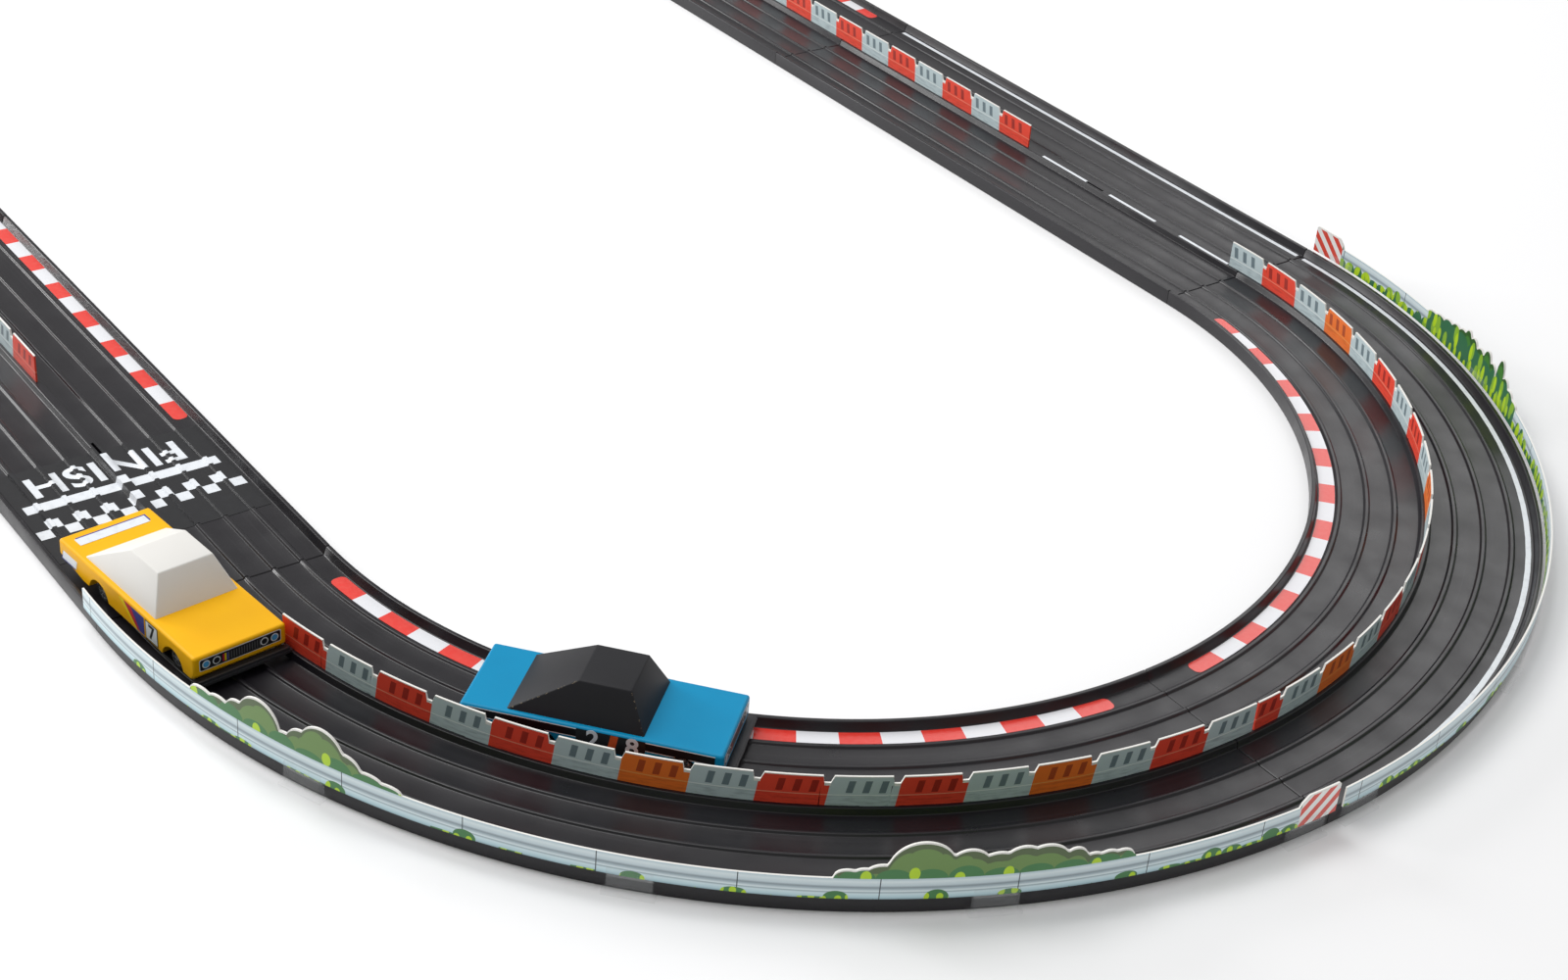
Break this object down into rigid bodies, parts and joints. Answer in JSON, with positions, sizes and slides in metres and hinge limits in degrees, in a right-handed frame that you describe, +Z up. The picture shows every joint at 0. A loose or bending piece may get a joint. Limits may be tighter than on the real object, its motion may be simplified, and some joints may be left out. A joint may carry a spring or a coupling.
{
  "type": "slot car track set",
  "caption": "Toy racing circuit with two walled lanes, clip-together sections, card barriers, scenery boards and small battery cars that drive round it.",
  "frame": {"origin": "on the floor in the middle of the oval", "axes": "+X along the straights towards the bend with the cars, +Y across the oval to the far straight, +Z up"},
  "size_m": [1.3866, 0.695, 0.034],
  "materials": {
    "track_plastic": "moulded polystyrene, satin",
    "barrier_card": "printed and varnished card",
    "scenery_card": "printed and varnished card",
    "clear_plastic": "clear moulded polycarbonate",
    "kerb_print": "printed vinyl film",
    "line_print": "white vinyl film",
    "finish_print": "printed vinyl film",
    "yellow_paint": "sprayed enamel on limewood",
    "yellow_cabin_paint": "sprayed enamel on limewood",
    "blue_paint": "sprayed enamel on limewood",
    "blue_cabin_paint": "sprayed enamel on limewood",
    "chassis_plastic": "moulded ABS",
    "blade_plastic": "moulded acetal",
    "battery_wrap": "heat-shrink sleeve",
    "board_laminate": "glass-fibre laminate with solder mask",
    "motor_steel": "drawn steel can",
    "cap_plastic": "moulded nylon",
    "pinion_brass": "cut brass",
    "axle_steel": "ground steel rod",
    "gear_plastic": "moulded acetal",
    "hub_silver": "metallised ABS",
    "tyre_rubber": "soft rubber",
    "screw_steel": "zinc-plated steel",
    "switch_plastic": "moulded ABS",
    "grille_print": "printed vinyl film"
  },
  "bodies": {
    "track": {"near_straight_1": "track_plastic", "near_straight_2": "track_plastic", "far_straight_1": "track_plastic", "far_straight_2": "track_plastic", "right_bend_1": "track_plastic", "right_bend_2": "track_plastic", "left_bend_1": "track_plastic", "left_bend_2": "track_plastic", "near_barrier": "barrier_card", "far_barrier": "barrier_card", "right_barrier_1": "barrier_card", "right_barrier_2": "barrier_card", "left_barrier_1": "barrier_card", "left_barrier_2": "barrier_card", "right_scenery_1": "scenery_card", "right_scenery_2": "scenery_card", "left_scenery_1": "scenery_card", "left_scenery_2": "scenery_card", "board_clips": "clear_plastic", "kerb_stickers": "kerb_print", "line_stickers": "line_print", "finish_sticker": "finish_print"},
    "yellow_car": {"yellow_body": "yellow_paint", "yellow_cabin": "yellow_cabin_paint", "yellow_chassis": "chassis_plastic", "yellow_guide_blade": "blade_plastic", "yellow_battery": "battery_wrap", "yellow_circuit_board": "board_laminate", "yellow_motor_can": "motor_steel", "yellow_motor_end_cap": "cap_plastic", "yellow_screws": "screw_steel", "yellow_grille_sticker": "grille_print"},
    "yellow_rear_set": {"yellow_rear_axle": "axle_steel", "yellow_rear_gear": "gear_plastic", "yellow_rear_wheels": "hub_silver", "yellow_rear_tyres": "tyre_rubber"},
    "yellow_front_set": {"yellow_front_axle": "axle_steel", "yellow_front_wheels": "hub_silver", "yellow_front_tyres": "tyre_rubber"},
    "yellow_rotor": {"yellow_motor_pinion": "pinion_brass"},
    "yellow_slider": {"yellow_power_switch": "switch_plastic"},
    "blue_car": {"blue_body": "blue_paint", "blue_cabin": "blue_cabin_paint", "blue_chassis": "chassis_plastic", "blue_guide_blade": "blade_plastic", "blue_battery": "battery_wrap", "blue_circuit_board": "board_laminate", "blue_motor_can": "motor_steel", "blue_motor_end_cap": "cap_plastic", "blue_screws": "screw_steel", "blue_grille_sticker": "grille_print"},
    "blue_rear_set": {"blue_rear_axle": "axle_steel", "blue_rear_gear": "gear_plastic", "blue_rear_wheels": "hub_silver", "blue_rear_tyres": "tyre_rubber"},
    "blue_front_set": {"blue_front_axle": "axle_steel", "blue_front_wheels": "hub_silver", "blue_front_tyres": "tyre_rubber"},
    "blue_rotor": {"blue_motor_pinion": "pinion_brass"},
    "blue_slider": {"blue_power_switch": "switch_plastic"}
  },
  "joints": [
    {"name": "yellow_travel", "type": "hinge", "parent": "track", "child": "yellow_car", "pos_m": [0.3456, 0, 0], "axis": [0, 0, 1], "range_deg": [-4, 168]},
    {"name": "yellow_rear_spin", "type": "hinge", "parent": "yellow_car", "child": "yellow_rear_set", "pos_m": [0.33188, -0.31603, 0.0094], "axis": [-0.1028, 0.9947, 0], "continuous": true},
    {"name": "yellow_front_spin", "type": "hinge", "parent": "yellow_car", "child": "yellow_front_set", "pos_m": [0.38769, -0.31026, 0.0094], "axis": [-0.1028, 0.9947, 0], "continuous": true},
    {"name": "yellow_motor_spin", "type": "hinge", "parent": "yellow_car", "child": "yellow_rotor", "pos_m": [0.33628, -0.31557, 0.0125], "axis": [-0.1028, 0.9947, 0], "continuous": true},
    {"name": "yellow_power", "type": "slide", "parent": "yellow_car", "child": "yellow_slider", "axis": [0.9947, 0.1028, 0], "range_m": [0, 0.002]},
    {"name": "blue_travel", "type": "hinge", "parent": "track", "child": "blue_car", "pos_m": [0.3456, 0, 0], "axis": [0, 0, 1], "range_deg": [-37, 130]},
    {"name": "blue_rear_spin", "type": "hinge", "parent": "blue_car", "child": "blue_rear_set", "pos_m": [0.48934, -0.22004, 0.0094], "axis": [-0.6494, 0.7604, 0], "continuous": true},
    {"name": "blue_front_spin", "type": "hinge", "parent": "blue_car", "child": "blue_front_set", "pos_m": [0.53199, -0.1836, 0.0094], "axis": [-0.6494, 0.7604, 0], "continuous": true},
    {"name": "blue_motor_spin", "type": "hinge", "parent": "blue_car", "child": "blue_rotor", "pos_m": [0.4927, -0.21716, 0.0125], "axis": [-0.6494, 0.7604, 0], "continuous": true},
    {"name": "blue_power", "type": "slide", "parent": "blue_car", "child": "blue_slider", "axis": [0.7604, 0.6494, 0], "range_m": [0, 0.002]}
  ],
  "couplings": [
    {"joint": "yellow_motor_spin", "follows": "yellow_rear_spin", "ratio": -2},
    {"joint": "blue_motor_spin", "follows": "blue_rear_spin", "ratio": -2}
  ]
}
